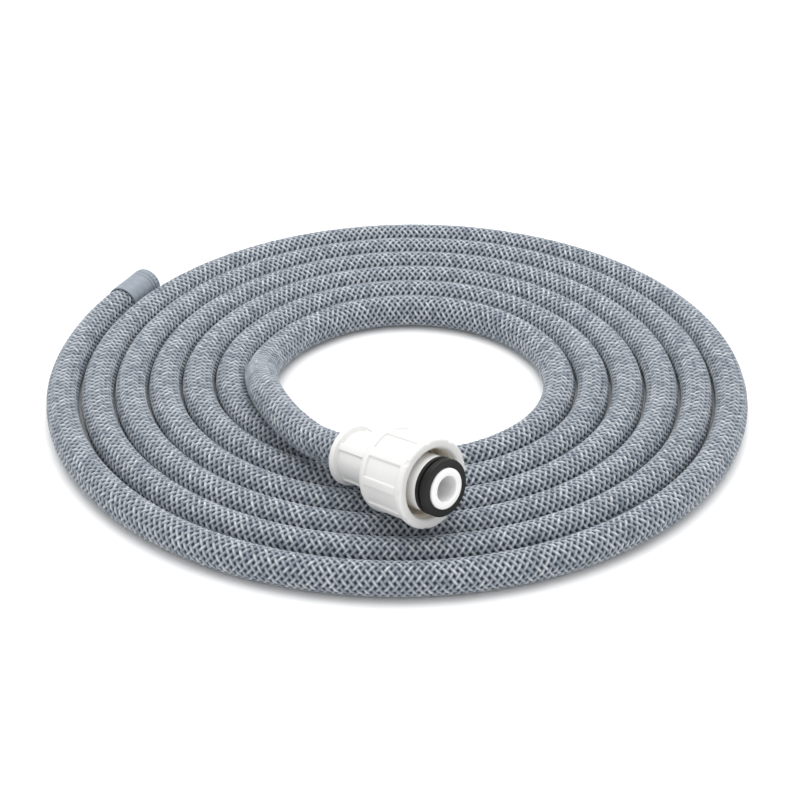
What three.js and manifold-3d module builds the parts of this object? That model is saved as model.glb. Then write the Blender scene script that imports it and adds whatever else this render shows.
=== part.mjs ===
// Coiled rinse hose for a sewer kit: a braided hose wound in one flat coil, a swivel union
// coupling on its inner end and a plugged tail on its outer end.
// Millimetres, +Z up, the floor is z = 0, and +X is the direction the coupling points in plan.
import * as THREE from 'three';
import { mergeVertices } from 'three/addons/utils/BufferGeometryUtils.js';
import Module from 'manifold-3d';

// ---- driving dimensions ----
const HOSE_OD = 25.4;
const HOSE_R = HOSE_OD / 2;
const GAP = 0.3; // between pieces that touch
const COIL_CENTRE = [2.51, 1.82]; // from the middle of the whole kit, which is the origin
const ROUND_STEPS = 36; // facets round a turned piece
const HOSE_SIDES = 12;

// ---- the coil: one radius for each eighth of a turn, in hose diameters ----
const FIRST_TURN = [4.17, 4.26, 4.58, 4.9, 5.04, 4.95, 4.8, 4.84];
const TURN_PITCH = [1.02, 1.01, 1.03, 1.06, 1.05, 1.06, 1.08, 1.075];
const OUTER_RADIUS = 10.275;
const TAIL_FLARE = [0.02, 0.16, 0.5, 0.5, 0, 0, 0, 0]; // how far the last turn leaves the circle
const TURNS = 6;
const EIGHTHS = 8;
const FIRST_KEY_TURN = 0.25; // the first listed radius is a quarter of a turn from the coupling
const START_AZIMUTH = -45; // degrees, where turn 0 would be
const LEAD_LEAVES = 0.42; // turns: the hose starts to climb here
const COIL_ENDS = 6.33; // turns: the outer end
const COIL_STEPS = 72; // facets round the coil

// ---- the lead: the inner end of the hose climbs over the coil to the coupling ----
const LEAD_START_TURNS = [0.42, 0.36, 0.3];
const LEAD_START_HEIGHTS = [0.5, 0.51, 0.58];
const LEAD_POINTS = [
  [-2.95, -3.0, 0.85],
  [-2.12, -3.72, 1.21],
  [-1.2, -4.34, 1.47],
  [-0.22, -4.83, 1.6],
  [0.8, -5.2, 1.68],
];
const LEAD_STRAIGHT = 1.5; // diameters of straight hose behind the collar
const LEAD_STEPS = 16;

// ---- the coupling: s runs along its axis from the collar's back rim ----
const COUPLING_AT = [3.61, -5.46, 2.0]; // in hose diameters
const COUPLING_PITCH = 9; // degrees, nose up
const COLLAR = { length: 35, rimLength: 5, rimR: 22.2, bodyR: 18.3, boreR: 13.3, wall: 2 };
const COLLAR_RIBS = { count: 4, width: 5, firstAt: 45 }; // degrees from the top
const SHANK_R = 10.1;
const TAIL_BORE_R = 7.6;
const MOUTH_BORE_R = 9.25;
const SPIGOT = { from: 56, to: 85, r: 19.9 };
const NOZZLE = { to: 96.5, r: 14.7 };
const SEAL_R = 20.6;
const REAR_SEAL_TO = 89;
const FRONT_SEAL_TO = 95;
const NUT = { from: 36, to: 83, bodyR: 30, ribR: 31.4, rimR: 33, mouthR: 25.2, cavityR: 23.2 };
const NUT_RIBS = { count: 9, width: 7, firstAt: 0 };
const NUT_RIM = 5;
const SLIP_RING = { from: 40.3, to: 42.3, innerR: 10.7, outerR: 19.5 };

// ---- the outer end ----
const END_AXIS_HEIGHT = 13.9;
const FERRULE = { length: 28, outerR: 13.6, innerR: 12.2 };
const END_HEAD = 4;
const PLUG = { headLength: 8, stemLength: 20, stemR: 7.1, grooveR: 5.9, grooveAt: 8 };

const wasm = await Module();
wasm.setup();

const kit = new THREE.Group();
kit.position.set(...COIL_CENTRE, 0);

const MATERIALS = {
  braid: new THREE.MeshStandardMaterial({ color: 0x96a0ac, roughness: 0.85, metalness: 0 }),
  hoseWall: new THREE.MeshStandardMaterial({ color: 0x6f7884, roughness: 0.7, metalness: 0 }),
  whitePlastic: new THREE.MeshStandardMaterial({ color: 0xf2f2ef, roughness: 0.4, metalness: 0 }),
  sealRubber: new THREE.MeshStandardMaterial({ color: 0x2f2f2e, roughness: 0.6, metalness: 0 }),
  greyPlastic: new THREE.MeshStandardMaterial({ color: 0x8d97a3, roughness: 0.5, metalness: 0 }),
};

// ---- solids ----
function toSolid(geometry) {
  const bare = geometry.clone();
  bare.deleteAttribute('normal');
  bare.deleteAttribute('uv');
  const merged = mergeVertices(bare, 1e-4);
  return new wasm.Manifold(new wasm.Mesh({
    numProp: 3,
    vertProperties: new Float32Array(merged.attributes.position.array),
    triVerts: new Uint32Array(merged.index.array),
  }));
}

function toGeometry(solid) {
  const mesh = solid.getMesh();
  const geometry = new THREE.BufferGeometry();
  geometry.setAttribute('position', new THREE.BufferAttribute(mesh.vertProperties, 3));
  geometry.setIndex(new THREE.BufferAttribute(mesh.triVerts, 1));
  geometry.computeVertexNormals();
  return geometry;
}

// A turned piece: [s, r] pairs round its half section, turned about the X axis.
function turned(profile, steps = ROUND_STEPS) {
  const points = profile.map(([s, r]) => new THREE.Vector2(r, s));
  points.push(points[0].clone());
  const geometry = new THREE.LatheGeometry(points, steps);
  geometry.rotateZ(-Math.PI / 2);
  return geometry;
}

// The half section of a plain ring, in the order that turns to a solid facing out.
const ringProfile = (from, to, innerR, outerR) => [
  [from, innerR],
  [from, outerR],
  [to, outerR],
  [to, innerR],
];

function addPiece(parent, name, geometry, material) {
  const mesh = new THREE.Mesh(geometry, material.clone());
  mesh.name = name;
  parent.add(mesh);
  return mesh;
}

// Ribs set evenly round the axis, from innerR to outerR, joined to a turned body.
function withRibs(body, ribs, from, to, innerR, outerR) {
  let solid = toSolid(body);
  for (let i = 0; i < ribs.count; i += 1) {
    const bar = new THREE.BoxGeometry(to - from, ribs.width, outerR - innerR);
    bar.translate((from + to) / 2, 0, (outerR + innerR) / 2);
    bar.rotateX(THREE.MathUtils.degToRad(ribs.firstAt + (i * 360) / ribs.count));
    solid = solid.add(toSolid(bar));
  }
  return toGeometry(solid);
}

// ---- the coil's centreline ----
function coilKeys() {
  const keys = [];
  for (let turn = 0; turn <= TURNS; turn += 1) {
    for (let i = 0; i < EIGHTHS; i += 1) {
      const spiral = Math.min(FIRST_TURN[i] + TURN_PITCH[i] * turn, OUTER_RADIUS);
      const frontOfLastTurn = turn === TURNS - 1 && i >= EIGHTHS / 2;
      if (turn === TURNS) keys.push(OUTER_RADIUS + TAIL_FLARE[i]);
      else keys.push(frontOfLastTurn ? OUTER_RADIUS : spiral);
    }
  }
  return [2 * keys[0] - keys[1], ...keys];
}

const KEYS = coilKeys();

// Radius after u turns: a uniform cubic B-spline through the keys.
function coilRadius(u) {
  const at = (u - FIRST_KEY_TURN) * EIGHTHS + 1;
  const i = Math.max(1, Math.floor(at));
  const t = at - i;
  const weights = [
    (1 - t) ** 3,
    3 * t ** 3 - 6 * t ** 2 + 4,
    -3 * t ** 3 + 3 * t ** 2 + 3 * t + 1,
    t ** 3,
  ];
  const mean = weights.reduce((sum, w, j) => sum + w * KEYS[i - 1 + j], 0) / 6;
  return mean * HOSE_OD;
}

function coilPoint(u, z, offset = 0) {
  const azimuth = THREE.MathUtils.degToRad(START_AZIMUTH - 360 * u);
  const r = coilRadius(u) + offset;
  return new THREE.Vector3(r * Math.cos(azimuth), r * Math.sin(azimuth), z);
}

// One turn of the coil's edge, counter-clockwise, from turn u on.
function coilEdge(u, offset) {
  const points = [];
  for (let i = 0; i <= COIL_STEPS; i += 1) {
    const p = coilPoint(u + 1 - i / COIL_STEPS, 0, offset);
    points.push(new THREE.Vector2(p.x, p.y));
  }
  return points;
}

// ---- the hose ----
function leadCurve() {
  const direction = couplingAxis();
  const collarEnd = new THREE.Vector3(...COUPLING_AT).multiplyScalar(HOSE_OD);
  const points = LEAD_START_TURNS.map((u, i) => coilPoint(u, LEAD_START_HEIGHTS[i] * HOSE_OD));
  for (const p of LEAD_POINTS) points.push(new THREE.Vector3(...p).multiplyScalar(HOSE_OD));
  points.push(collarEnd.clone().addScaledVector(direction, -LEAD_STRAIGHT * HOSE_OD));
  points.push(collarEnd.clone().addScaledVector(direction, -GAP));
  return new THREE.CatmullRomCurve3(points, false, 'centripetal');
}

function couplingAxis() {
  const pitch = THREE.MathUtils.degToRad(COUPLING_PITCH);
  return new THREE.Vector3(Math.cos(pitch), 0, Math.sin(pitch));
}

function leadTube(radius) {
  const section = new THREE.Shape();
  for (let i = 0; i < HOSE_SIDES; i += 1) {
    const a = (i * 2 * Math.PI) / HOSE_SIDES;
    if (i === 0) section.moveTo(radius, 0);
    else section.lineTo(radius * Math.cos(a), radius * Math.sin(a));
  }
  section.closePath();
  return new THREE.ExtrudeGeometry(section, { steps: LEAD_STEPS, extrudePath: leadCurve() });
}

// The outer shape of the wound turns: a flat ring between the first turn's inner edge and
// the last turn's outer edge, each with a step of one turn where the hose leaves it.
function coilRing() {
  const outline = new THREE.Shape(coilEdge(COIL_ENDS - 1, HOSE_R));
  outline.holes.push(new THREE.Path(coilEdge(LEAD_LEAVES, -HOSE_R)));
  const ring = new THREE.ExtrudeGeometry(outline, { depth: HOSE_OD, bevelEnabled: false, steps: 1 });
  return toGeometry(toSolid(ring).subtract(toSolid(leadTube(HOSE_R + 2 * GAP))));
}

function buildHose() {
  addPiece(kit, 'hose_coil', coilRing(), MATERIALS.braid);
  addPiece(kit, 'hose_lead', leadTube(HOSE_R - GAP), MATERIALS.braid);
}

// ---- the coupling on the inner end ----
function collarGeometry() {
  const { length, rimLength, rimR, bodyR, boreR, wall } = COLLAR;
  const body = turned([
    [0, boreR],
    [0, rimR - 1],
    [1, rimR],
    [rimLength - 1, rimR],
    [rimLength, rimR - 1.5],
    [rimLength + 1, bodyR],
    [length, bodyR],
    [length, SHANK_R + GAP],
    [length - wall, SHANK_R + GAP],
    [length - wall, boreR],
  ]);
  return withRibs(body, COLLAR_RIBS, rimLength - 1, length - 1, boreR + 2, bodyR + 1.4);
}

function tailProfile() {
  const barb = (s) => [
    [s, 9.7],
    [s + 6, 10.6],
    [s + 6.01, 9.7],
  ];
  return [
    [4, TAIL_BORE_R],
    ...barb(4),
    ...barb(12),
    ...barb(20),
    [28, SHANK_R],
    [SPIGOT.from, SHANK_R],
    [SPIGOT.from, SPIGOT.r],
    [SPIGOT.to - 1, SPIGOT.r],
    [SPIGOT.to, SPIGOT.r - 1],
    [SPIGOT.to, NOZZLE.r],
    [NOZZLE.to - 0.8, NOZZLE.r],
    [NOZZLE.to, NOZZLE.r - 0.8],
    [NOZZLE.to, MOUTH_BORE_R],
    [SPIGOT.from, MOUTH_BORE_R],
    [SPIGOT.from - 3, TAIL_BORE_R],
  ];
}

function nutGeometry() {
  const { from, to, bodyR, ribR, rimR, mouthR, cavityR } = NUT;
  const body = turned([
    [from, SHANK_R + 2 * GAP],
    [from, 22],
    [from + 1.2, 25.5],
    [from + 4, 28.6],
    [from + 8, bodyR],
    [to - NUT_RIM - 1, bodyR],
    [to - NUT_RIM, rimR],
    [to - 1, rimR],
    [to, rimR - 1.2],
    [to, mouthR + 1.2],
    [to - 1.2, mouthR],
    [to - 20, mouthR],
    [to - 22, cavityR],
    [from + 4, cavityR],
    [from + 4, SHANK_R + 2 * GAP],
  ]);
  return withRibs(body, NUT_RIBS, from + 6, to - 3, mouthR + 2, ribR);
}

// The last of the hose, pushed over the barbs and held by the sleeve round it.
const hoseEnd = (from, to, outerR) => turned(ringProfile(from, to, 10.6 + GAP, outerR));

function buildCoupling() {
  const coupling = new THREE.Group();
  coupling.position.set(...COUPLING_AT).multiplyScalar(HOSE_OD);
  coupling.rotation.y = -THREE.MathUtils.degToRad(COUPLING_PITCH);
  kit.add(coupling);
  const held = COLLAR.boreR - GAP;
  const { from, to, innerR, outerR } = SLIP_RING;
  const sealBore = NOZZLE.r + GAP;
  const rearSeal = turned([
    [SPIGOT.to + GAP, sealBore],
    [SPIGOT.to + GAP, SEAL_R - 0.6],
    [SPIGOT.to + GAP + 0.6, SEAL_R],
    [REAR_SEAL_TO - 0.8, SEAL_R],
    [REAR_SEAL_TO, SEAL_R - 1],
    [REAR_SEAL_TO, sealBore],
  ]);
  const frontSeal = turned([
    [REAR_SEAL_TO + GAP, sealBore],
    [REAR_SEAL_TO + GAP, SEAL_R - 1],
    [REAR_SEAL_TO + GAP + 0.8, SEAL_R],
    [FRONT_SEAL_TO - 1, SEAL_R],
    [FRONT_SEAL_TO, SEAL_R - 1],
    [FRONT_SEAL_TO, sealBore],
  ]);
  const nut = nutGeometry();
  addPiece(coupling, 'inner_hose_end', hoseEnd(GAP, COLLAR.length - 4, held), MATERIALS.hoseWall);
  addPiece(coupling, 'hose_collar', collarGeometry(), MATERIALS.whitePlastic);
  addPiece(coupling, 'coupling_tail', turned(tailProfile()), MATERIALS.whitePlastic);
  addPiece(coupling, 'slip_ring', turned(ringProfile(from, to, innerR, outerR)), MATERIALS.whitePlastic);
  addPiece(coupling, 'union_nut', nut, MATERIALS.whitePlastic);
  addPiece(coupling, 'rear_seal', rearSeal, MATERIALS.sealRubber);
  addPiece(coupling, 'front_seal', frontSeal, MATERIALS.sealRubber);
}

// ---- the outer end, closed by a push-in plug ----
function endTailProfile() {
  const { length, outerR } = FERRULE;
  return [
    [4, TAIL_BORE_R],
    [4, 9.7],
    [10, 10.6],
    [10.01, 9.7],
    [16, 10.6],
    [16.01, 9.7],
    [length + GAP, 9.7],
    [length + GAP, outerR],
    [length + END_HEAD, outerR],
    [length + END_HEAD, TAIL_BORE_R],
  ];
}

function plugProfile() {
  const { headLength, stemLength, stemR, grooveR, grooveAt } = PLUG;
  const head = FERRULE.length + END_HEAD + GAP;
  const tip = head - stemLength;
  return [
    [tip, 0],
    [tip, stemR - 1],
    [tip + 1, stemR],
    [tip + grooveAt, stemR],
    [tip + grooveAt, grooveR],
    [tip + grooveAt + 2, grooveR],
    [tip + grooveAt + 2, stemR],
    [head, stemR],
    [head, FERRULE.outerR],
    [head + headLength - 2, FERRULE.outerR],
    [head + headLength, FERRULE.outerR - 2.5],
    [head + headLength, 0],
  ];
}

function plugRing() {
  const centre = FERRULE.length + END_HEAD + GAP - PLUG.stemLength + PLUG.grooveAt + 1;
  const [middle, thickness] = [(PLUG.grooveR + TAIL_BORE_R) / 2, 0.5];
  const profile = [];
  for (let i = 0; i < 8; i += 1) {
    const a = (-i * 2 * Math.PI) / 8;
    profile.push([centre + thickness * Math.cos(a), middle + thickness * Math.sin(a)]);
  }
  return turned(profile, 32);
}

function buildOuterEnd() {
  const outerEnd = new THREE.Group();
  const end = coilPoint(COIL_ENDS, END_AXIS_HEIGHT);
  const before = coilPoint(COIL_ENDS - 0.005, END_AXIS_HEIGHT);
  const ahead = end.clone().sub(before).normalize();
  outerEnd.position.copy(end.addScaledVector(ahead, 2 * GAP));
  outerEnd.rotation.z = Math.atan2(ahead.y, ahead.x);
  kit.add(outerEnd);
  const { length, outerR, innerR } = FERRULE;
  const held = hoseEnd(1, length - 3, innerR - GAP);
  addPiece(outerEnd, 'outer_hose_end', held, MATERIALS.hoseWall);
  addPiece(outerEnd, 'end_ferrule', turned(ringProfile(0, length, innerR, outerR)), MATERIALS.greyPlastic);
  addPiece(outerEnd, 'end_tail', turned(endTailProfile()), MATERIALS.greyPlastic);
  addPiece(outerEnd, 'end_plug', turned(plugProfile()), MATERIALS.greyPlastic);
  addPiece(outerEnd, 'plug_ring', plugRing(), MATERIALS.sealRubber);
}

buildHose();
buildCoupling();
buildOuterEnd();
export default kit;
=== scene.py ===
"""Coiled rinse hose for a sewer kit: the finished surfaces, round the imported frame.

Metres, +Z up. The hose is a braided jacket over a smooth wall, wound in one flat coil. Its inner
end climbs over the coil to a white union coupling, and its outer end is closed by a small plug.
"""

import math

import bpy
import numpy as np
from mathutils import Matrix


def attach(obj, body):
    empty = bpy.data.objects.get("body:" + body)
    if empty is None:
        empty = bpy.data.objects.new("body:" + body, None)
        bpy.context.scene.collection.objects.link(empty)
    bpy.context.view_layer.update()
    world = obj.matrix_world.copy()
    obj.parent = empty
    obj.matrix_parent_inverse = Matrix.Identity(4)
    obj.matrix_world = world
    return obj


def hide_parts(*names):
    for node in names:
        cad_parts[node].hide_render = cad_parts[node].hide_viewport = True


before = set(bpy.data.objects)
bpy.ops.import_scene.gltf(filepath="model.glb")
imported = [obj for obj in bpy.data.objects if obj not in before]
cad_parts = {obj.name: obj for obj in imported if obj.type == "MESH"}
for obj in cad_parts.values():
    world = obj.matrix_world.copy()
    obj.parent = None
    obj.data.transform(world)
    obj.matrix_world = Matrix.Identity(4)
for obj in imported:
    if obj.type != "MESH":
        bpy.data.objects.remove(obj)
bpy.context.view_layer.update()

MM = 0.001
UP = np.array([0.0, 0.0, 1.0])

# ---- the coil, in hose diameters: one radius for each eighth of a turn ----
HOSE = 25.4 * MM
COIL_CENTRE = np.array([2.51, 1.82, 0.0]) * MM
FIRST_TURN = np.array([4.17, 4.26, 4.58, 4.9, 5.04, 4.95, 4.8, 4.84])
TURN_PITCH = np.array([1.02, 1.01, 1.03, 1.06, 1.05, 1.06, 1.08, 1.075])
OUTER_RADIUS = 10.275
TAIL_FLARE = np.array([0.02, 0.16, 0.5, 0.5, 0, 0, 0, 0])  # how far the last turn leaves the circle
TURNS = 6
EIGHTHS = 8
FIRST_KEY_TURN = 0.25  # turns: where the first listed radius is
START_AZIMUTH = -45  # degrees, where turn 0 would be
LEAD_LEAVES = 0.42  # turns: the hose starts to climb here
COIL_ENDS = 6.33  # turns: the outer end
END_AXIS_HEIGHT = 13.9 / 25.4
END_RISE = 0.05  # turns over which the outer end lifts to its ferrule's axis
END_GAP = 0.6 * MM

# ---- the lead, in hose diameters ----
LEAD_START_TURNS = np.array([0.42, 0.36, 0.3])
LEAD_START_HEIGHTS = np.array([0.5, 0.51, 0.58])
LEAD_POINTS = np.array([
    [-2.95, -3.0, 0.85],
    [-2.12, -3.72, 1.21],
    [-1.2, -4.34, 1.47],
    [-0.22, -4.83, 1.6],
    [0.8, -5.2, 1.68],
])
LEAD_STRAIGHT = 1.5  # behind the collar
COUPLING_AT = np.array([3.61, -5.46, 2.0])  # the middle of the collar's back rim
COUPLING_PITCH = math.radians(9)
COUPLING_AXIS = np.array([math.cos(COUPLING_PITCH), 0, math.sin(COUPLING_PITCH)])
COUPLING_ORIGIN = COUPLING_AT * HOSE + COIL_CENTRE

# ---- the braid ----
BRAID_PERIOD = 5.2 * MM  # along the hose, from one dark gap to the next
BRAID_ROWS = 20  # rows of gaps round the hose
ROW_STEPS = 4  # points across one row
PERIOD_STEPS = 6  # points along one period
STRAND_WIDTH = 0.56  # of a period
STRAND_HEIGHT = 0.85 * MM
STRAND_SWAY = 0.35 * MM  # how far a strand rises over and dips under the others
GAP_DEPTH = 0.9 * MM
BRAID_PIECES = 8
CORE_RADIUS = 10.2 * MM
CORE_STEP = 8 * MM
CORE_SIDES = 24
IN_COLLAR = 3 * MM  # how far the braid goes into the collar
IN_FERRULE = 1.6 * MM
FERRULE_SQUEEZE = 0.06  # of the radius, over the braid's last millimetres

# ---- the view: the camera looks along -X +Y and down ----
VIEW_AZIMUTH = math.radians(45)
VIEW_DROP = math.radians(31.5)
VIEW_DISTANCE = 66 * HOSE
VIEW_TARGET = np.array([0.074, -0.243]) * HOSE  # to the right of the coil's centre, and away
LENS = 95.6
SENSOR = 36


# ---- camera ----
def view_directions():
    """The level direction away from the camera and the one to its right."""
    away = np.array([-math.sin(VIEW_AZIMUTH), math.cos(VIEW_AZIMUTH), 0.0])
    right = np.array([math.cos(VIEW_AZIMUTH), math.sin(VIEW_AZIMUTH), 0.0])
    return away, right


def make_camera():
    """The camera stands back from its target, raised by the angle that it looks down."""
    away, right = view_directions()
    target = COIL_CENTRE + right * VIEW_TARGET[0] + away * VIEW_TARGET[1]
    back = VIEW_DISTANCE * math.cos(VIEW_DROP)
    data = bpy.data.cameras.new("camera")
    data.lens = LENS
    data.sensor_width = SENSOR
    data.clip_end = 100
    camera = bpy.data.objects.new("camera", data)
    camera.location = target - away * back + UP * VIEW_DISTANCE * math.sin(VIEW_DROP)
    camera.rotation_euler = (math.pi / 2 - VIEW_DROP, 0, VIEW_AZIMUTH)
    bpy.context.collection.objects.link(camera)
    bpy.context.scene.camera = camera


# ---- the hose's centreline ----
def smooth_step(value):
    """0 below 0, 1 above 1, and 3 t^2 - 2 t^3 between."""
    t = np.clip(value, 0, 1)
    return t * t * (3 - 2 * t)


def unit(vectors):
    return vectors / np.linalg.norm(vectors, axis=-1, keepdims=True)


def coil_keys():
    """One radius for each eighth of a turn, with one more in front."""
    turn = np.arange(TURNS)[:, None]
    keys = np.minimum(FIRST_TURN + TURN_PITCH * turn, OUTER_RADIUS)
    keys[-1, EIGHTHS // 2 :] = OUTER_RADIUS
    keys = np.concatenate([keys.ravel(), OUTER_RADIUS + TAIL_FLARE])
    return np.concatenate([[2 * keys[0] - keys[1]], keys])


def coil_radius(turns):
    """A uniform cubic B-spline through the keys."""
    keys = coil_keys()
    at = (turns - FIRST_KEY_TURN) * EIGHTHS + 1
    i = np.maximum(1, np.floor(at)).astype(int)
    t = at - i
    weights = [
        (1 - t) ** 3,
        3 * t**3 - 6 * t**2 + 4,
        -3 * t**3 + 3 * t**2 + 3 * t + 1,
        t**3,
    ]
    return sum(w * keys[i - 1 + j] for j, w in enumerate(weights)) / 6


def coil_points(turns, heights):
    """The coil is wound clockwise, seen from above: the azimuth falls as the turns rise."""
    azimuth = np.radians(START_AZIMUTH - 360 * turns)
    radius = coil_radius(turns)
    return np.stack([radius * np.cos(azimuth), radius * np.sin(azimuth), heights], axis=1)


def catmull_rom(points, steps):
    """A centripetal Catmull-Rom curve: a cubic from each point to the next, whose end slopes
    come from the neighbours, spaced by the square root of their distance."""
    first, last = 2 * points[0] - points[1], 2 * points[-1] - points[-2]
    p = np.vstack([first, points, last])
    gap = np.sqrt(np.linalg.norm(np.diff(p, axis=0), axis=1))[:, None]
    slope = np.diff(p, axis=0) / gap
    middle = (p[2:] - p[:-2]) / (gap[1:] + gap[:-1])
    tangent = slope[:-1] - middle + slope[1:]
    t = np.linspace(0, 1, steps, endpoint=False)[None, :, None]
    start, end = points[:-1, None], points[1:, None]
    leave = (tangent[:-1] * gap[1:-1])[:, None]
    arrive = (tangent[1:] * gap[1:-1])[:, None]
    curve = (
        (2 * t**3 - 3 * t**2 + 1) * start
        + (t**3 - 2 * t**2 + t) * leave
        + (3 * t**2 - 2 * t**3) * end
        + (t**3 - t**2) * arrive
    )
    return np.vstack([curve.reshape(-1, 3), points[-1:]])


def length_of(line):
    return np.linalg.norm(np.diff(line, axis=0), axis=1).sum()


def resampled(points, steps):
    """The same line in this many equal steps."""
    along = np.concatenate([[0], np.cumsum(np.linalg.norm(np.diff(points, axis=0), axis=1))])
    at = np.linspace(0, along[-1], steps + 1)
    return np.stack([np.interp(at, along, points[:, k]) for k in range(3)], axis=1)


def smoothed(points, window):
    """Each point becomes the mean of those round it, less and less towards the two ends."""
    half = window // 2
    sums = np.vstack([np.zeros((1, 3)), np.cumsum(points, axis=0)])
    i = np.arange(len(points))
    reach = np.minimum(half, np.minimum(i, len(points) - 1 - i))
    return (sums[i + reach + 1] - sums[i - reach]) / (2 * reach + 1)[:, None]


def hose_line(step=1 * MM, join=60 * MM):
    """The hose's centreline, from inside the collar to inside the ferrule: the lead's curve,
    then the coil, smoothed within two joins' length of where they meet."""
    lead = np.vstack([
        coil_points(LEAD_START_TURNS, LEAD_START_HEIGHTS),
        LEAD_POINTS,
        COUPLING_AT - LEAD_STRAIGHT * COUPLING_AXIS,
        COUPLING_AT + IN_COLLAR / HOSE * COUPLING_AXIS,
    ])
    lead = catmull_rom(lead, 60)[::-1]
    turns = np.linspace(LEAD_LEAVES, COIL_ENDS, 12000)[1:]
    lift = smooth_step((turns - COIL_ENDS + END_RISE) / END_RISE)
    coil = coil_points(turns, 0.5 + (END_AXIS_HEIGHT - 0.5) * lift)
    ahead = unit(coil[-1] - coil[-20])
    ahead = unit(ahead * [1, 1, 0])
    line = np.vstack([lead, coil, coil[-1] + ahead * IN_FERRULE / HOSE])
    line = line * HOSE + COIL_CENTRE
    line = resampled(line, int(length_of(line) / step))
    along = np.arange(len(line)) * step
    weight = smooth_step(2 - np.abs(along - length_of(lead) * HOSE) / join)[:, None]
    even = smoothed(line, int(join / 2 / step))
    return line * (1 - weight) + even * weight


def line_frames(line):
    """The line's direction, its level side and its upper side, at each point."""
    ahead = unit(np.gradient(line, axis=0))
    side = unit(np.cross(ahead, UP))
    return ahead, side, np.cross(side, ahead)


def tube_rings(line, radii, angles, part=slice(None)):
    """Rings round a stretch of a line: centre + radius * (cos angle * side + sin angle * upper
    side), on frames worked out from the whole line, so that neighbouring stretches agree."""
    _, side, upper = (v[part, None] for v in line_frames(line))
    turn = np.cos(angles)[None, :, None] * side + np.sin(angles)[None, :, None] * upper
    return line[part, None] + radii[..., None] * turn


# ---- meshes ----
def skin(name, rings, loop=False, weave=None, mouth_shade=None):
    """A closed surface through rings of points. Each ring closes on itself. The last ring joins
    the first where loop is true, and otherwise a fan closes each end."""
    rows, sides = rings.shape[:2]
    places = rings.reshape(-1, 3)
    row = np.arange(rows if loop else rows - 1)[:, None]
    side = np.arange(sides)[None, :]
    next_row, next_side = (row + 1) % rows, (side + 1) % sides
    quads = np.stack([
        row * sides + side,
        row * sides + next_side,
        next_row * sides + next_side,
        next_row * sides + side,
    ], axis=-1).reshape(-1, 4)
    fans = np.zeros((0, 3), int)
    if not loop:
        ends = np.array([rings[0].mean(axis=0), rings[-1].mean(axis=0)])
        first, last = len(places), len(places) + 1
        places = np.vstack([places, ends])
        around = np.arange(sides)
        following = (around + 1) % sides
        base = (rows - 1) * sides
        fans = np.vstack([
            np.stack([following, around, np.full(sides, first)], axis=1),
            np.stack([base + around, base + following, np.full(sides, last)], axis=1),
        ])
    a, b, c, d = (places[quads[:, k]] - places.mean(axis=0) for k in range(4))
    volume = np.einsum("ij,ij->", a, np.cross(b, c)) + np.einsum("ij,ij->", a, np.cross(c, d))
    if volume < 0:
        quads, fans = quads[:, ::-1], fans[:, ::-1]
    mesh = bpy.data.meshes.new(name)
    mesh.vertices.add(len(places))
    mesh.vertices.foreach_set("co", places.astype(np.float32).ravel())
    corners = np.concatenate([quads.ravel(), fans.ravel()])
    starts = np.concatenate([np.arange(len(quads)) * 4, quads.size + np.arange(len(fans)) * 3])
    mesh.loops.add(len(corners))
    mesh.loops.foreach_set("vertex_index", corners.astype(np.int32))
    mesh.polygons.add(len(starts))
    mesh.polygons.foreach_set("loop_start", starts.astype(np.int32))
    mesh.polygons.foreach_set("use_smooth", np.ones(len(starts), bool))
    if weave is not None:
        write_weave(mesh, weave, row, side, volume < 0, fans.size)
    # Per point, how much beige painted shade the white plastic puts inside the coupling's mouth.
    if mouth_shade is not None:
        attribute = mesh.attributes.new("mouth_shade", "FLOAT", "POINT")
        attribute.data.foreach_set("value", mouth_shade.astype(np.float32).ravel())
    mesh.update(calc_edges=True)
    mesh.validate()
    piece = bpy.data.objects.new(name, mesh)
    bpy.context.collection.objects.link(piece)
    return piece


def write_weave(mesh, weave, row, side, reverse, fan_loops):
    """The weave map: periods along the hose, and rows of gaps round it. A fan's corners are 0."""
    start, per_row, per_side = weave
    along = [start + row * per_row, start + (row + 1) * per_row]
    around = [side * per_side, (side + 1) * per_side]
    shape = np.broadcast_shapes(row.shape, side.shape)
    corners = [(0, 0), (0, 1), (1, 1), (1, 0)]
    uv = [
        np.stack([np.broadcast_to(along[i], shape), np.broadcast_to(around[j], shape)], axis=-1)
        for i, j in corners
    ]
    uv = np.stack(uv, axis=2).reshape(-1, 4, 2)
    if reverse:
        uv = uv[:, ::-1]
    flat = np.concatenate([uv.ravel(), np.zeros(fan_loops * 2)])
    mesh.uv_layers.new(name="weave").data.foreach_set("uv", flat.astype(np.float32))


def finish_piece(piece, body, slot, material, *nodes):
    """Gives a piece its material and its body, and hides the nodes that it stands for. slot is not used."""
    piece.data.materials.append(material)
    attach(piece, body)
    if nodes:
        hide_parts(*nodes)
    return piece


# ---- the hose ----
def strand(position, level):
    """Height across one family of strands: a half round on a swaying level, or the floor of the
    gap between two strands."""
    across = 2 * (position - np.floor(position) - 0.5) / STRAND_WIDTH
    dome = 1 - across**2
    return np.where(dome > 0, level + STRAND_HEIGHT * np.sqrt(np.maximum(dome, 0)), -GAP_DEPTH)


def braid_height(x, i):
    """x is periods along the hose and i is rows round it. Strands lie where x - i/2 and
    x + i/2 are halfway between whole numbers. The first family rises and the second dips as the
    cosine of pi i."""
    sway = STRAND_SWAY * np.cos(np.pi * i)
    return np.maximum(strand(x - i / 2, sway), strand(x + i / 2, -sway))


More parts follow.
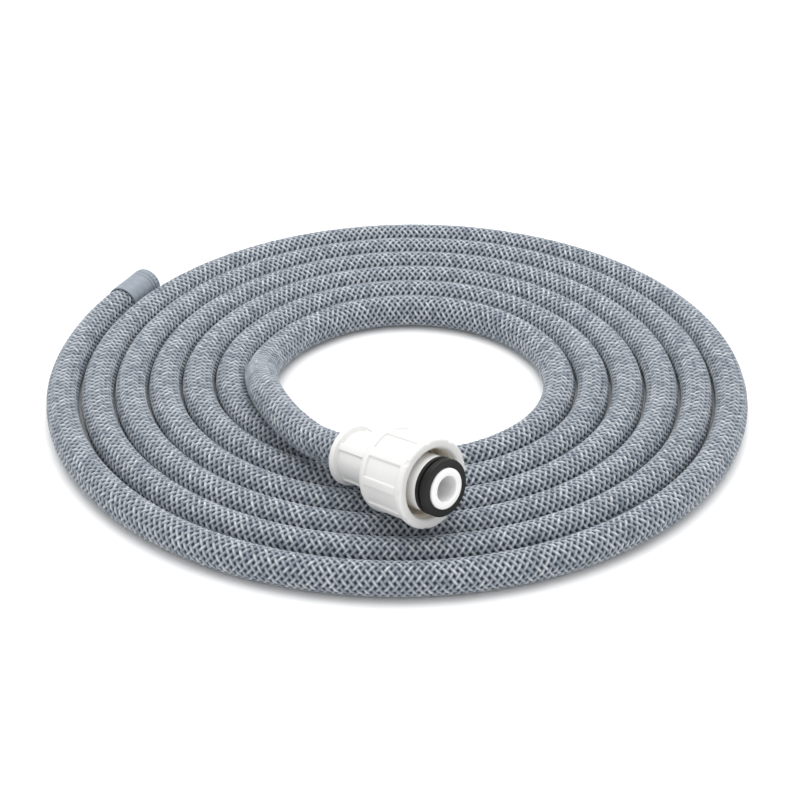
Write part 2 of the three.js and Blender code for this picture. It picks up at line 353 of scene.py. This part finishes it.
def make_hose(materials, line):
    """The smooth core, which is the cord, and the braid over it in equal stretches."""
    length = length_of(line)
    core_line = resampled(line, int(length / CORE_STEP))
    angles = np.linspace(0, 2 * np.pi, CORE_SIDES, endpoint=False)
    radii = np.full((len(core_line), len(angles)), CORE_RADIUS)
    core = skin("hose_core", tube_rings(core_line, radii, angles))
    finish_piece(core, "hose", "hose_wall", materials["hose_wall"], "hose_coil", "hose_lead")

    per_piece = int(round(length / BRAID_PERIOD / BRAID_PIECES))
    steps = per_piece * BRAID_PIECES * PERIOD_STEPS
    braid_line = resampled(line, steps)
    along = np.linspace(0, length, steps + 1)
    sides = BRAID_ROWS * ROW_STEPS
    rows_round = np.arange(sides) / ROW_STEPS
    angles = 2 * np.pi * rows_round / BRAID_ROWS
    squeeze = FERRULE_SQUEEZE * smooth_step((along - length + 9 * MM) / (8 * MM))
    crest = HOSE / 2 - STRAND_HEIGHT - STRAND_SWAY
    braids = []
    for n in range(BRAID_PIECES):
        first = n * per_piece * PERIOD_STEPS
        part = slice(first, first + per_piece * PERIOD_STEPS + 1)
        x = np.arange(part.start, part.stop)[:, None] / PERIOD_STEPS
        radii = (crest + braid_height(x, rows_round[None])) * (1 - squeeze[part, None])
        rings = tube_rings(braid_line, radii, angles, part)
        weave = (n * per_piece, 1 / PERIOD_STEPS, 1 / ROW_STEPS)
        braid = skin(f"braid_{n + 1}", rings, weave=weave)
        braids.append(finish_piece(braid, "hose", "braid", materials["braid"]))
    return core, core_line, braids


# ---- turned pieces: s runs along the axis and r out from it, in millimetres ----
SHARP_ANGLE = math.radians(40)


def rounded(profile, closed=True, points=4):
    """Corners (s, r, fillet) become parabolas that start and end a fillet's length away."""
    corners = np.array([p[:2] for p in profile], float)
    fillets = [p[2] if len(p) > 2 else 0 for p in profile]
    before, after = np.roll(corners, 1, axis=0), np.roll(corners, -1, axis=0)
    t = np.linspace(0, 1, points)[:, None]
    out = []
    for i, (corner, fillet) in enumerate(zip(corners, fillets)):
        end = not closed and i in (0, len(corners) - 1)
        if end or fillet == 0:
            out.append(corner[None])
            continue
        back, on = before[i] - corner, after[i] - corner
        reach = min(fillet, 0.48 * np.linalg.norm(back), 0.48 * np.linalg.norm(on))
        enter, leave = corner + unit(back) * reach, corner + unit(on) * reach
        out.append((1 - t) ** 2 * enter + 2 * t * (1 - t) * corner + t**2 * leave)
    return np.vstack(out)


def divided(points, longest, closed=True):
    """Long stretches of a profile are cut into steps no longer than this."""
    following = np.roll(points, -1, axis=0) if closed else np.vstack([points[1:], points[-1:]])
    out = []
    for start, end in zip(points, following):
        cuts = max(1, math.ceil(np.linalg.norm(end - start) / longest))
        out.append(start + (end - start) * np.arange(cuts)[:, None] / cuts)
    return np.vstack(out)


def turned(name, profile, place, sides=96, longest=4, relief=None, mouth_shade=None, closed=True):
    """A profile turned about its axis: (s, r sin angle, r cos angle), with relief(s, r, angle)
    added to r. place is the axis's origin, its direction and its upper side."""
    points = divided(rounded(profile, closed), longest, closed)
    s, r = points[:, :1], points[:, 1:]
    angles = np.linspace(0, 2 * np.pi, sides, endpoint=False)[None]
    radii = r + (relief(s, r, angles) if relief else 0 * angles)
    origin, axis, upper = place
    side = np.cross(upper, axis)
    rings = (
        origin
        + s[..., None] * MM * axis
        + (radii * np.sin(angles))[..., None] * MM * side
        + (radii * np.cos(angles))[..., None] * MM * upper
    )
    # How much beige painted shade each point gets inside the coupling's mouth.
    depth = None if mouth_shade is None else np.broadcast_to(mouth_shade(s, r), radii.shape)
    piece = skin(name, rings, loop=closed, mouth_shade=depth)
    piece.data.set_sharp_from_angle(angle=SHARP_ANGLE)
    return piece


def bars(angles, ribs, r, soft, narrower=0):
    """1 on a rib, 0 between the ribs, with soft edges, as many times round as there are ribs."""
    pitch = 2 * np.pi / ribs["count"]
    turned_back = angles - math.radians(ribs["first_at"])
    off_centre = np.abs((turned_back + pitch / 2) % pitch - pitch / 2) * r
    return smooth_step(((ribs["width"] - narrower + soft) / 2 - off_centre) / soft)


def band(s, start, end, soft):
    """1 from start to end along the axis, with soft edges outside it."""
    return smooth_step((s - start + soft) / soft) * smooth_step((end + soft - s) / soft)


def coupling_place():
    """The coupling's origin, axis and upper side."""
    upper = np.array([-math.sin(COUPLING_PITCH), 0, math.cos(COUPLING_PITCH)])
    return COUPLING_ORIGIN, COUPLING_AXIS, upper


def outer_end_place():
    """The outer end's axis goes on level from the coil's last point, after a small gap."""
    turns = np.array([COIL_ENDS - 0.005, COIL_ENDS])
    before, end = coil_points(turns, np.full(2, END_AXIS_HEIGHT)) * HOSE + COIL_CENTRE
    ahead = unit(end - before)
    return end + ahead * END_GAP, ahead, UP


# ---- the coupling, in millimetres along and out from its axis, from the collar's back rim ----
COLLAR_RIM = 5
COLLAR_LENGTH = 35
COLLAR_R = 19.7
COLLAR_BORE_R = 13.3
COLLAR_SINK = 1.4  # depth of the panels between the ribs
COLLAR_RIBS = {"count": 4, "width": 5.4, "first_at": 45}  # degrees from the top
SHANK_GAP_R = 10.4  # the hole in the collar's front wall
NUT_FROM = 36
NUT_TO = 83
NUT_R = 31.4
NUT_BACK_R = 31
NUT_RIM_R = 32.5
NUT_FRAME = 10  # from the nut's back to where its sunk panels start
NUT_RIBS = {"count": 9, "width": 6.8, "first_at": 0}
NUT_SINK = 1.3
NOTCH_DEPTH = 0.75
MOUTH_R = 25.2
SPIGOT_FROM = 56
SPIGOT_TO = 85
SPIGOT_R = 19.9
NOZZLE_TO = 96.5
NOZZLE_R = 14.7
SEAL_R = 20.6
THREAD_PITCH = 2.3
THREAD_DEPTH = 0.8


def collar_relief(s, r, angles):
    """Panels sunk between the ribs, which stop short of the rim and of the front edge."""
    ribs = bars(angles, COLLAR_RIBS, r, 0.9)
    panel = band(s, COLLAR_RIM + 1.6, COLLAR_LENGTH - 3.4, 0.7)
    return -COLLAR_SINK * (1 - ribs) * panel * (r > COLLAR_R - 1)


def make_collar(materials):
    """A sleeve over the hose, with a rim behind and a wall in front that the shank goes through."""
    front = COLLAR_LENGTH
    profile = [
        (0, COLLAR_BORE_R, 0.5), (0, 22.2, 1.6), (COLLAR_RIM, 22.2, 1.2), (COLLAR_RIM + 0.7, COLLAR_R, 1.2),
        (front, COLLAR_R, 1), (front, SHANK_GAP_R, 0.3), (front - 2, SHANK_GAP_R, 0.3),
        (front - 2, COLLAR_BORE_R, 0.5),
    ]
    piece = turned("collar", profile, coupling_place(), 240, 0.7, collar_relief)
    return finish_piece(piece, "hose", "white_plastic", materials["white_plastic"], "hose_collar")


def nut_relief(s, r, angles):
    """Outside, sunk panels between the ribs, framed behind and in front, and a small notch in
    the rim's front edge at each rib. Inside, a thread: the square of (1 + cos(2 pi s / pitch -
    angle)) / 2."""
    outside = r > 29.5
    ribs = bars(angles, NUT_RIBS, r, 0.7)
    panel = band(s, NUT_FROM + NUT_FRAME, NUT_TO - 6.4, 0.55)
    notch = bars(angles, NUT_RIBS, r, 0.6, narrower=3.2) * band(s, NUT_TO - 2.2, NUT_TO, 0.4)
    notch = notch * smooth_step((r - 28.4) / 3.4)
    ridge = 0.5 + 0.5 * np.cos(2 * np.pi * s / THREAD_PITCH - angles)
    threaded = band(s, NUT_FROM + 26, NUT_TO - 4.5, 1.5) * (np.abs(r - MOUTH_R) < 0.1)
    sunk = outside * -NUT_SINK * (1 - ribs) * panel
    return sunk - NOTCH_DEPTH * notch - THREAD_DEPTH * ridge**2 * threaded


def nut_mouth_shade(s, r):
    """How far a point lies inside the nut's mouth, which sets how much beige painted shade it gets."""
    return smooth_step((NUT_TO - 0.5 - s) / 6) * (r < MOUTH_R + 0.2) * (s > NUT_FROM + 3)


def make_nut(materials):
    """A cup with a rounded back, a hole for the shank, a threaded mouth and a rim in front."""
    profile = [
        (NUT_FROM, 10.7, 0.3), (NUT_FROM, 22, 1.5), (NUT_FROM + 1.4, 26.6, 3), (NUT_FROM + 4.2, 30, 2.5),
        (NUT_FROM + 7, NUT_BACK_R, 2.5), (NUT_TO - 5.6, NUT_R, 0.5), (NUT_TO - 4.8, NUT_RIM_R, 0.7),
        (NUT_TO - 1, NUT_RIM_R, 1), (NUT_TO, NUT_RIM_R - 1.2, 0.8), (NUT_TO, MOUTH_R + 1.2, 0.9),
        (NUT_TO - 1.2, MOUTH_R, 0.9), (NUT_TO - 20, MOUTH_R, 0.5), (NUT_TO - 22, 23.2, 0.5),
        (NUT_FROM + 4, 23.2, 1), (NUT_FROM + 4, 10.7, 0.3),
    ]
    piece = turned("swivel_nut", profile, coupling_place(), 360, 0.55, nut_relief, nut_mouth_shade)
    return finish_piece(piece, "nut", "white_plastic", materials["white_plastic"], "union_nut")


def barbs(start, count, pitch, low, high, length):
    """A row of barbs that rise from low to high and drop back at once."""
    points = []
    for s in start + pitch * np.arange(count):
        points += [(s, low, 0.2), (s + length, high, 0.3), (s + length + 0.3, low, 0.2)]
    return points


def make_coupling_tail(materials):
    """One moulding: the barbed shank, the spigot and the nozzle, with a bore right through."""
    profile = [
        (4, 7.6, 0.5), *barbs(4, 3, 8, 9.7, 10.6, 6), (28, 10.1, 0.5), (SPIGOT_FROM, 10.1, 0.8),
        (SPIGOT_FROM, SPIGOT_R, 0.8), (SPIGOT_TO, SPIGOT_R, 1), (SPIGOT_TO, NOZZLE_R, 0.6),
        (NOZZLE_TO, NOZZLE_R, 1.3), (NOZZLE_TO, 9.25, 0.9), (SPIGOT_FROM, 9.25, 2),
        (SPIGOT_FROM - 3, 7.6, 2),
    ]

    def spigot_mouth_shade(s, r):
        """How far a point of the spigot lies inside the nut, which sets how much beige painted shade it
        gets.
        """
        return smooth_step((78 - s) / 8) * (r > SPIGOT_R - 1)

    piece = turned("spigot_and_nozzle", profile, coupling_place(), 128, 3, None, spigot_mouth_shade)
    # Its material is a paler copy of the white plastic: painted light on the shaded bore and spigot.
    return finish_piece(piece, "hose", "white_plastic", materials["nozzle_plastic_painted_light"], "coupling_tail")


def make_seals(materials):
    """Two rings with a groove between them, and a fine line round the front one."""
    groove = SEAL_R - 2.2
    rear = [
        (85.3, 15, 0.2), (85.3, SEAL_R, 0.7), (87.8, SEAL_R, 0.8), (88.1, groove, 0.3), (89, groove, 0.2),
        (89, 15, 0.2),
    ]
    front = [
        (89.3, 15, 0.2), (89.3, groove, 0.2), (89.8, groove, 0.3), (90.1, SEAL_R, 0.8), (91.8, SEAL_R, 0.2),
        (92.1, SEAL_R - 0.35, 0.2), (92.4, SEAL_R - 0.35, 0.2), (92.7, SEAL_R, 0.2), (95, SEAL_R, 1.2),
        (95, 15, 0.4),
    ]
    for name, profile in (("rear", rear), ("front", front)):
        seal = turned(f"{name}_seal_ring", profile, coupling_place(), 128, 2)
        finish_piece(seal, "hose", "seal_rubber", materials["seal_rubber"], f"{name}_seal")


def make_slip_ring(materials):
    """The flat ring inside the nut, in front of its back wall."""
    profile = [(40.3, 10.7, 0.3), (40.3, 19.5, 0.4), (42.3, 19.5, 0.4), (42.3, 10.7, 0.3)]
    piece = turned("thrust_washer", profile, coupling_place())
    finish_piece(piece, "nut_carrier", "white_plastic", materials["white_plastic"], "slip_ring")


def make_hose_ends(materials):
    """The last of the hose over each row of barbs. In the collar it swells over each barb."""
    def swell(s, r, angles):
        """A sine along the axis, one wave a barb."""
        return 0.15 * np.sin(2 * np.pi * (s - 4) / 8) * (r > 11.5) + 0 * angles

    inner = [(1.5, 10.9, 0.2), (1.5, 12.5, 0.6), (4, 12.8, 1), (31, 12.8, 0.5), (31, 10.9, 0.3)]
    outer = [(2, 10.9, 0.2), (2, 11.7, 0.3), (25, 11.7, 0.3), (25, 10.9, 0.2)]
    piece = turned("hose_end_in_collar", inner, coupling_place(), 72, 1, swell)
    finish_piece(piece, "hose", "hose_wall", materials["hose_wall"], "inner_hose_end")
    piece = turned("hose_end_in_ferrule", outer, outer_end_place(), 72, 1)
    return finish_piece(piece, "hose", "hose_wall", materials["hose_wall"], "outer_hose_end")


# ---- the outer end ----
def make_outer_end(materials):
    """The crimped ferrule, the barbed tail and the plug with its O-ring."""
    grey, rubber, place = materials["grey_plastic"], materials["seal_rubber"], outer_end_place()

    def crimps(s, r, angles):
        """Three bands pressed in, each a little deeper eight times round."""
        rows = band(s, 5, 7, 1.2) + band(s, 13, 15, 1.2) + band(s, 21, 23, 1.2)
        return -(0.45 + 0.15 * np.cos(8 * angles)) * rows * (r > 13)

    def grip(s, r, angles):
        """Flutes: a cosine, 24 times round."""
        return -0.5 * (0.5 + 0.5 * np.cos(24 * angles)) * band(s, 34.2, 37.2, 0.8) * (r > 13)

    sleeve = [(0, 12.2, 0.3), (0, 13.6, 0.5), (28, 13.6, 0.5), (28, 12.2, 0.3)]
    ferrule = turned("crimped_ferrule", sleeve, place, 128, 0.8, crimps)
    finish_piece(ferrule, "hose", "grey_plastic", grey, "end_ferrule")
    stem = [
        (4, 7.6, 0.4), *barbs(4, 2, 6, 9.7, 10.6, 5.6), (28.3, 9.7, 0.3), (28.3, 13.6, 0.6),
        (32, 13.6, 0.8), (32, 7.6, 0.5),
    ]
    tail = turned("barbed_tail", stem, place, 96, 2)
    finish_piece(tail, "hose", "grey_plastic", grey, "end_tail")
    plug = [
        (12.3, 6.1, 0), (12.3, 7.1, 0.8), (20.3, 7.1, 0.3), (20.3, 5.9, 0.2), (22.3, 5.9, 0.2),
        (22.3, 7.1, 0.3), (32.3, 7.1, 0.3), (32.3, 13.6, 0.8), (38.3, 13.6, 1.2), (40.3, 11.1, 1.2),
        (40.3, 8, 0.8), (39.5, 7, 0.8), (39.5, 5, 0),
    ]
    plug = turned("push_in_plug", plug, place, 192, 0.6, grip, closed=False)
    finish_piece(plug, "plug", "grey_plastic", grey, "end_plug")
    angle = np.linspace(0, -2 * np.pi, 20, endpoint=False)
    ring = np.stack([21.3 + 0.7 * np.cos(angle), 6.75 + 0.7 * np.sin(angle)], axis=1)
    ring = turned("plug_o_ring", [tuple(p) for p in ring], place, 72)
    finish_piece(ring, "plug", "seal_rubber", rubber, "plug_ring")
    return [ferrule, tail, plug, ring]


# ---- material nodes ----
def add_node(tree, kind, values=(), **settings):
    """A node with its settings, and its inputs by name: a socket is linked, a value is set."""
    node = tree.nodes.new(kind)
    for key, value in settings.items():
        setattr(node, key, value)
    for key, value in dict(values).items():
        if isinstance(value, bpy.types.NodeSocket):
            tree.links.new(value, node.inputs[key])
        else:
            node.inputs[key].default_value = value
    return node


def maths(tree, operation, *values):
    """A Math node's result."""
    return add_node(tree, "ShaderNodeMath", enumerate(values), operation=operation).outputs[0]


def mixed(tree, factor, first, second, blend="MIX"):
    """Two colours mixed by a factor."""
    values = {0: factor, 6: first, 7: second}
    node = add_node(tree, "ShaderNodeMix", values, data_type="RGBA", blend_type=blend)
    return node.outputs[2]


def new_group(name, inputs, outputs):
    """A node group with named sockets: {name: default} in, and names out."""
    tree = bpy.data.node_groups.new(name, "ShaderNodeTree")
    for label, default in inputs.items():
        kind = "NodeSocketVector" if default is None else "NodeSocketFloat"
        socket = tree.interface.new_socket(label, in_out="INPUT", socket_type=kind)
        if default is not None:
            socket.default_value = default
    for label in outputs:
        tree.interface.new_socket(label, in_out="OUTPUT", socket_type="NodeSocketFloat")
    enter = tree.nodes.new("NodeGroupInput")
    leave = tree.nodes.new("NodeGroupOutput")
    return tree, enter.outputs, leave.inputs


def moulded_grain_group():
    """Fine spark grain, slow flow marks and a gloss that follows them."""
    inputs = {"Vector": None, "Grain scale": 2500.0, "Flow scale": 45.0, "Roughness": 0.4}
    tree, given, out = new_group("moulded grain", inputs, ["Tone", "Roughness", "Height"])
    grain_in = {"Vector": given["Vector"], "Scale": given["Grain scale"], "Detail": 2.0}
    grain = add_node(tree, "ShaderNodeTexNoise", grain_in).outputs["Fac"]
    flow_in = {"Vector": given["Vector"], "Scale": given["Flow scale"], "Detail": 4.0, "Distortion": 0.6}
    flow = add_node(tree, "ShaderNodeTexNoise", flow_in).outputs["Fac"]
    tree.links.new(maths(tree, "MULTIPLY_ADD", flow, 0.1, 0.95), out["Tone"])
    rough = maths(tree, "MULTIPLY_ADD", flow, 0.22, -0.11)
    tree.links.new(maths(tree, "ADD", rough, given["Roughness"]), out["Roughness"])
    tree.links.new(grain, out["Height"])
    return tree


def scuff_group():
    """Short fine scratches in a few patches: thin bands of a stretched noise, held to where a
    slow noise is high."""
    tree, given, out = new_group("handling scuffs", {"Vector": None, "Amount": 1.0}, ["Mask"])
    stretch = {"Vector": given["Vector"], "Scale": (1.0, 7.0, 3.0), "Rotation": (0.3, 0.5, 0.9)}
    along = add_node(tree, "ShaderNodeMapping", stretch).outputs[0]
    lines_in = {"Vector": along, "Scale": 130.0, "Detail": 3.0}
    lines = add_node(tree, "ShaderNodeTexNoise", lines_in).outputs["Fac"]
    thin = maths(tree, "COMPARE", lines, 0.62, 0.012)
    patches_in = {"Vector": given["Vector"], "Scale": 38.0}
    patches = add_node(tree, "ShaderNodeTexNoise", patches_in).outputs["Fac"]
    near = maths(tree, "GREATER_THAN", patches, 0.56)
    mask = maths(tree, "MULTIPLY", maths(tree, "MULTIPLY", thin, near), given["Amount"])
    tree.links.new(mask, out["Mask"])
    return tree


def weave_group():
    """The braid's own pattern, from the weave map: whether a strand is there and, for the one on
    top, how domed it is, its fibres, its dye and how far it rises or dips."""
    inputs = {"Weave": None, "Strand width": STRAND_WIDTH}
    tree, given, out = new_group("diamond braid", inputs, ["Strand", "Dome", "Fibre", "Dye", "Sway"])
    parts = add_node(tree, "ShaderNodeSeparateXYZ", {0: given["Weave"]}).outputs
    half_row = maths(tree, "MULTIPLY", parts[1], 0.5)
    places = [maths(tree, "SUBTRACT", parts[0], half_row), maths(tree, "ADD", parts[0], half_row)]
    sway = maths(tree, "COSINE", maths(tree, "MULTIPLY", parts[1], math.pi))
    levels = [sway, maths(tree, "MULTIPLY", sway, -1.0)]
    domes, heights = [], []
    for place, level in zip(places, levels):
        across = maths(tree, "SUBTRACT", maths(tree, "FRACT", place), 0.5)
        across = maths(tree, "DIVIDE", maths(tree, "MULTIPLY", across, 2.0), given["Strand width"])
        dome = maths(tree, "SUBTRACT", 1.0, maths(tree, "MULTIPLY", across, across))
        dome = maths(tree, "SQRT", maths(tree, "MAXIMUM", dome, 0.0))
        on_strand = maths(tree, "GREATER_THAN", dome, 0.0)
        raised = maths(tree, "MULTIPLY_ADD", level, STRAND_SWAY / STRAND_HEIGHT, dome)
        heights.append(maths(tree, "MULTIPLY", maths(tree, "ADD", raised, 2.0), on_strand))
        domes.append(dome)
    second = maths(tree, "GREATER_THAN", heights[1], heights[0])

    def chosen(first_value, second_value):
        """The value of the family on top."""
        change = maths(tree, "SUBTRACT", second_value, first_value)
        return maths(tree, "MULTIPLY_ADD", change, second, first_value)

    across, along = chosen(places[0], places[1]), chosen(places[1], places[0])
    side = maths(tree, "MULTIPLY_ADD", second, 2.0, -1.0)

    def noise(x, y, scale, detail):
        """A noise of its own for each family, at (x, y)."""
        at = add_node(tree, "ShaderNodeCombineXYZ", {0: x, 1: y, 2: second}).outputs[0]
        values = {"Vector": at, "Scale": scale, "Detail": detail}
        return add_node(tree, "ShaderNodeTexNoise", values).outputs["Fac"]

    fibre = noise(maths(tree, "MULTIPLY", across, 11.0), maths(tree, "MULTIPLY", along, 1.1), 1.0, 2.0)
    dye = noise(maths(tree, "FLOOR", across), maths(tree, "MULTIPLY", along, 0.45), 0.73, 1.0)
    strand = maths(tree, "GREATER_THAN", maths(tree, "MAXIMUM", heights[0], heights[1]), 0.0)
    tree.links.new(strand, out["Strand"])
    tree.links.new(chosen(domes[0], domes[1]), out["Dome"])
    tree.links.new(fibre, out["Fibre"])
    tree.links.new(dye, out["Dye"])
    tree.links.new(maths(tree, "MULTIPLY", sway, maths(tree, "MULTIPLY", side, -1.0)), out["Sway"])
    return tree


def new_material(name, roughness, **constants):
    """A Principled material, and its tree, shader and Object coordinates."""
    material = bpy.data.materials.new(name)
    material.use_nodes = True
    tree = material.node_tree
    shader = next(n for n in tree.nodes if n.type == "BSDF_PRINCIPLED")
    shader.inputs["Roughness"].default_value = roughness
    for key, value in constants.items():
        shader.inputs[key.replace("_", " ")].default_value = value
    place = add_node(tree, "ShaderNodeTexCoord").outputs["Object"]
    return material, tree, shader, place


def place_group(tree, group, values):
    """A node group with its own values, and its outputs."""
    node = tree.nodes.new("ShaderNodeGroup")
    node.node_tree = group
    for key, value in values.items():
        if isinstance(value, bpy.types.NodeSocket):
            tree.links.new(value, node.inputs[key])
        else:
            node.inputs[key].default_value = value
    return node.outputs


def add_bump(tree, shader, height, strength, distance):
    """A Bump node from a height to the shader's normal."""
    values = {"Height": height, "Strength": strength, "Distance": distance}
    bump = add_node(tree, "ShaderNodeBump", values)
    tree.links.new(bump.outputs[0], shader.inputs["Normal"])


def moulded(name, groups, colour, roughness, grain_scale, bump, scuffs, **constants):
    """Moulded plastic or rubber: grain, flow marks and a few scuffs over one colour. It gives the
    material, its tree, its shader and the toned colour."""
    material, tree, shader, place = new_material(name, roughness, **constants)
    values = {"Vector": place, "Grain scale": grain_scale, "Roughness": roughness}
    grain = place_group(tree, groups["grain"], values)
    marks = place_group(tree, groups["scuffs"], {"Vector": place, "Amount": scuffs})["Mask"]
    toned = mixed(tree, 1.0, (*colour, 1), grain["Tone"], "MULTIPLY")
    tree.links.new(toned, shader.inputs["Base Color"])
    rough = maths(tree, "MULTIPLY_ADD", marks, 0.25, grain["Roughness"])
    tree.links.new(rough, shader.inputs["Roughness"])
    height = maths(tree, "SUBTRACT", grain["Height"], marks)
    add_bump(tree, shader, height, bump, 0.05 * MM)
    return material, tree, shader, toned


def white_plastic(name, groups, colour):
    """White, with beige painted shade inside the coupling's mouth."""
    made = moulded(name, groups, colour, 0.38, 2600.0, 0.12, 0.4)
    material, tree, shader, toned = made
    # Painted shade: a beige mixed in where the points lie deep inside the coupling's mouth.
    inside = add_node(tree, "ShaderNodeAttribute", attribute_name="mouth_shade").outputs["Fac"]
    beige_shade = mixed(tree, maths(tree, "MULTIPLY", inside, 0.8), toned, (0.86, 0.79, 0.66, 1))
    tree.links.new(beige_shade, shader.inputs["Base Color"])
    return material


def braid_material(groups):
    """Mid to pale blue-grey strands over a dark ground, with fine fibres along them. Painted shade makes
    each strand darker at its edges and where it dips under another."""
    material, tree, shader, _ = new_material("braid", 0.78)
    weave = add_node(tree, "ShaderNodeUVMap", uv_map="weave").outputs[0]
    braid = place_group(tree, groups["weave"], {"Weave": weave})
    spread = add_node(tree, "ShaderNodeMapRange", {0: braid["Dye"], 1: 0.3, 2: 0.7}).outputs[0]
    pale = mixed(tree, spread, (0.225, 0.262, 0.312, 1), (0.565, 0.6, 0.64, 1))
    dark = (0.044, 0.054, 0.071, 1)
    # Painted shade: each strand darker towards its edges, by its dome, and where it dips under the other
    # family.
    edge = maths(tree, "POWER", braid["Dome"], 1.2)
    dip_shade = maths(tree, "MULTIPLY_ADD", braid["Sway"], 0.3, 0.7)
    fibre = maths(tree, "MULTIPLY_ADD", braid["Fibre"], 0.7, 0.6)
    shade = maths(tree, "MULTIPLY", maths(tree, "MULTIPLY", edge, dip_shade), fibre)
    shade = maths(tree, "MULTIPLY", maths(tree, "MINIMUM", shade, 1.0), braid["Strand"])
    tree.links.new(mixed(tree, shade, dark, pale), shader.inputs["Base Color"])
    add_bump(tree, shader, maths(tree, "ADD", braid["Fibre"], braid["Dome"]), 0.5, 0.25 * MM)
    return material


def make_materials():
    """Every finish. A plain moulding's row holds its colour, roughness, grain scale, bump and
    scuffs."""
    groups = {"grain": moulded_grain_group(), "scuffs": scuff_group(), "weave": weave_group()}
    finishes = {
        "braid": braid_material(groups),
        "white_plastic": white_plastic("white_plastic", groups, (0.69, 0.687, 0.674)),
        # A paler copy of the white plastic: painted light on the shaded bore and spigot.
        "nozzle_plastic_painted_light": white_plastic("nozzle_plastic_painted_light", groups, (0.84, 0.84, 0.835)),
    }
    wall = (0.1, 0.115, 0.14), 0.6, 1800.0, 0.2, 0.3
    rubber = (0.01, 0.01, 0.0095), 0.5, 2200.0, 0.3, 0.4
    grey = (0.21, 0.24, 0.28), 0.42, 2600.0, 0.15, 0.6
    finishes["hose_wall"] = moulded("hose_wall", groups, *wall)[0]
    finishes["seal_rubber"] = moulded("seal_rubber", groups, *rubber, Specular_IOR_Level=0.25)[0]
    finishes["grey_plastic"] = moulded("grey_plastic", groups, *grey)[0]
    return finishes


# ---- stage ----
FLOOR_REACH = 12
SKY_STRENGTH = 0.98
SOFTBOX_AT = np.array([-0.2, 0.25, 1.7])
SOFTBOX_SIZE = 2.2
SOFTBOX_POWER = 29


def make_stage():
    """A pale floor under an even white sky, and a round softbox that faces the origin."""
    mesh = bpy.data.meshes.new("floor")
    corners = [(x * FLOOR_REACH, y * FLOOR_REACH, 0) for x, y in ((-1, -1), (1, -1), (1, 1), (-1, 1))]
    mesh.from_pydata(corners, [], [(0, 1, 2, 3)])
    floor = bpy.data.objects.new("floor", mesh)
    bpy.context.collection.objects.link(floor)
    material, _, shader, _ = new_material("floor", 0.9)
    shader.inputs["Base Color"].default_value = (0.93, 0.93, 0.93, 1)
    mesh.materials.append(material)
    world = bpy.data.worlds.new("studio")
    world.use_nodes = True
    background = next(n for n in world.node_tree.nodes if n.type == "BACKGROUND")
    background.inputs["Color"].default_value = (1, 1, 1, 1)
    background.inputs["Strength"].default_value = SKY_STRENGTH
    bpy.context.scene.world = world
    light = bpy.data.lights.new("softbox", "AREA")
    light.shape = "DISK"
    light.size = SOFTBOX_SIZE
    light.energy = SOFTBOX_POWER
    softbox = bpy.data.objects.new("softbox", light)
    softbox.location = SOFTBOX_AT
    x, y, height = SOFTBOX_AT
    softbox.rotation_euler = (math.atan2(math.hypot(x, y), height), 0, math.atan2(x, -y))
    bpy.context.collection.objects.link(softbox)
    bpy.context.scene.view_settings.view_transform = "Standard"


make_camera()
materials = make_materials()
line = hose_line()
core, core_line, braids = make_hose(materials, line)
hose_end = make_hose_ends(materials)
end_pieces = make_outer_end(materials)
make_collar(materials)
make_coupling_tail(materials)
make_slip_ring(materials)
make_nut(materials)
make_seals(materials)
make_stage()
